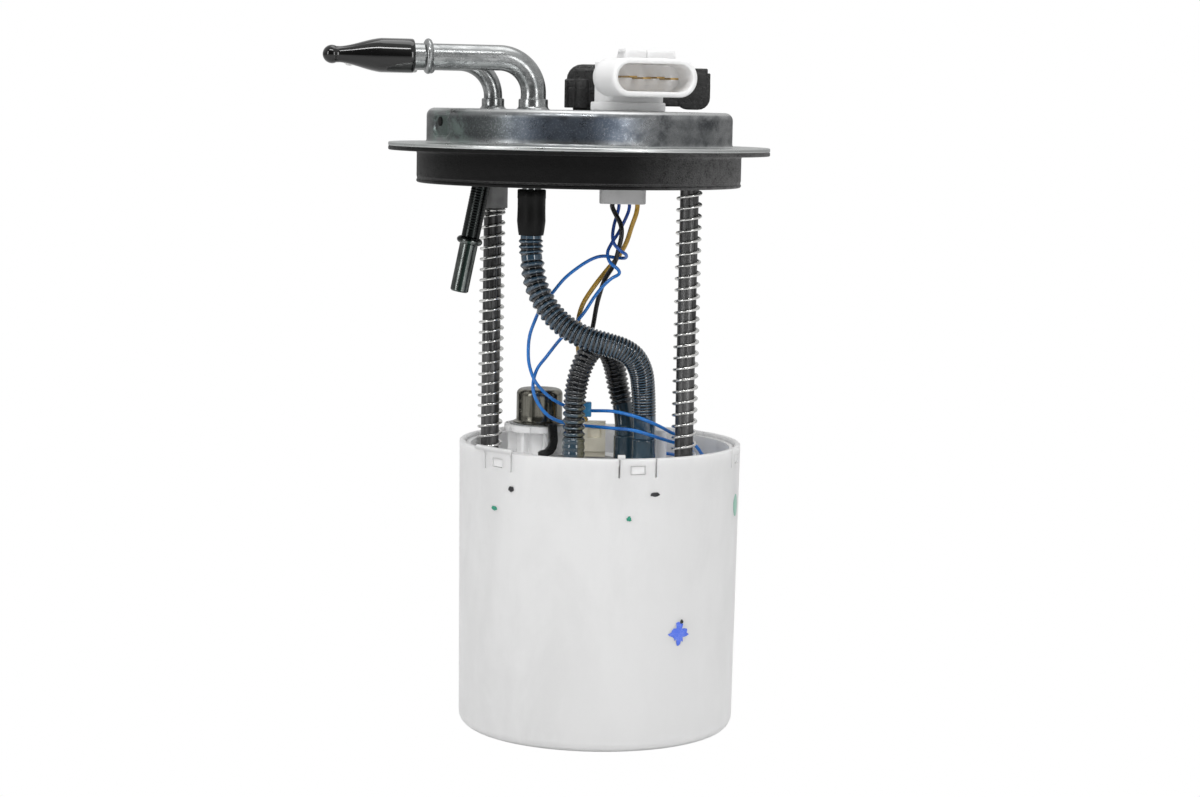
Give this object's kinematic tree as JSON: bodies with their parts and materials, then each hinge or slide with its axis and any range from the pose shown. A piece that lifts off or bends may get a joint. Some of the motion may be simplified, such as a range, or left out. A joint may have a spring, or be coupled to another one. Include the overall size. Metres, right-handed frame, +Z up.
{
  "type": "in-tank fuel pump module",
  "caption": "In-tank electric fuel pump module: pressed steel flange with fuel tubes and connector, sprung guide rods, hoses and wires, over a round plastic reservoir with pump and sender.",
  "frame": {"origin": "on the cover's axis, at the underside of the clamped flange, where the collar begins", "axes": "+Z up, out of the tank along the collar's axis; +X to the right and -Y to the front as pictured"},
  "size_m": [0.1678, 0.1489, 0.2621],
  "materials": {
    "plated_steel": "satin",
    "collar_steel": "satin",
    "tube_steel": "satin",
    "rod_steel": "dark",
    "spring_steel": "bright",
    "regulator_steel": "bright",
    "clear_nylon": "milky, slightly translucent",
    "white_acetal": "satin",
    "cream_nylon": "satin",
    "grey_nylon": "satin",
    "black_nylon": "satin",
    "cap_vinyl": "gloss",
    "pale_vinyl": "gloss",
    "hose_blue": "gloss",
    "hose_dark": "gloss",
    "rubber": "matt",
    "brass": "satin",
    "copper": "enamelled",
    "magnet": "matt",
    "carbon": "matt",
    "filter_paper": "matt",
    "strainer_mesh": "matt",
    "card": "satin",
    "float_foam": "matt",
    "wire_black": "satin",
    "wire_yellow": "satin",
    "wire_blue": "satin"
  },
  "bodies": {
    "flange_unit": {"cover": "plated_steel", "collar": "collar_steel", "outlet_tube": "tube_steel", "outlet_ring": "tube_steel", "return_tube": "tube_steel", "return_ring": "tube_steel", "connector_body": "clear_nylon", "connector_blades": "brass", "pressure_sensor": "black_nylon", "sensor_seal": "rubber", "guide_rod_left": "rod_steel", "guide_rod_right": "rod_steel", "rod_seat_left": "grey_nylon", "rod_seat_right": "grey_nylon", "rod_clips": "spring_steel", "outlet_sleeve": "rubber", "spring_left": "spring_steel", "spring_right": "spring_steel", "outlet_hose": "hose_blue", "black_wire": "wire_black", "yellow_wire": "wire_yellow", "blue_wire_a": "wire_blue", "blue_wire_b": "wire_blue"},
    "outlet_cap": {"outlet_cap": "cap_vinyl"},
    "return_cap": {"return_cap": "pale_vinyl"},
    "reservoir_unit": {"reservoir": "clear_nylon", "carrier": "white_acetal", "guide_bushes": "cream_nylon", "filter_housing": "white_acetal", "filter_element": "filter_paper", "filter_lid": "white_acetal", "hose_cuffs": "hose_dark", "pump_hose": "hose_dark", "regulator_can": "regulator_steel", "regulator_seal": "rubber", "regulator_clip": "black_nylon", "pump_shell": "tube_steel", "pump_end_cap": "cream_nylon", "pump_plate": "cream_nylon", "pump_inlet_cover": "cream_nylon", "pump_magnets": "magnet", "pump_bushes": "brass", "pump_brushes": "carbon", "pump_plug": "cream_nylon", "pump_isolator": "rubber", "strainer": "strainer_mesh", "jet_pump": "cream_nylon", "floor_valve": "rubber", "sender_bracket": "white_acetal", "sender_card": "card", "sender_pin": "tube_steel"},
    "pump_rotor": {"pump_shaft": "tube_steel", "pump_armature": "copper", "pump_commutator": "copper", "pump_impeller": "cream_nylon"},
    "float_arm": {"float_hub": "white_acetal", "float_wire": "tube_steel", "float_block": "float_foam"}
  },
  "joints": [
    {"name": "reservoir_slide", "type": "slide", "parent": "flange_unit", "child": "reservoir_unit", "axis": [0, 0, 1], "range_m": [0, 0.04], "stiffness_N_per_m": 400, "springref_m": -0.05, "deforming": ["spring_left", "spring_right", "outlet_hose", "black_wire", "yellow_wire", "blue_wire_a", "blue_wire_b"]},
    {"name": "outlet_cap_pull", "type": "slide", "parent": "flange_unit", "child": "outlet_cap", "axis": [-0.9781, -0.2079, 0], "range_m": [0, 0.04]},
    {"name": "return_cap_pull", "type": "slide", "parent": "flange_unit", "child": "return_cap", "axis": [-0.9781, -0.2079, 0], "range_m": [0, 0.035]},
    {"name": "rotor_spin", "type": "hinge", "parent": "reservoir_unit", "child": "pump_rotor", "pos_m": [0.004, -0.003, -0.16], "axis": [0, 0, 1], "continuous": true},
    {"name": "float_swing", "type": "hinge", "parent": "reservoir_unit", "child": "float_arm", "pos_m": [0.02553, 0.05796, -0.1502], "axis": [0.2588, 0.9659, 0], "range_deg": [0, 80]}
  ]
}
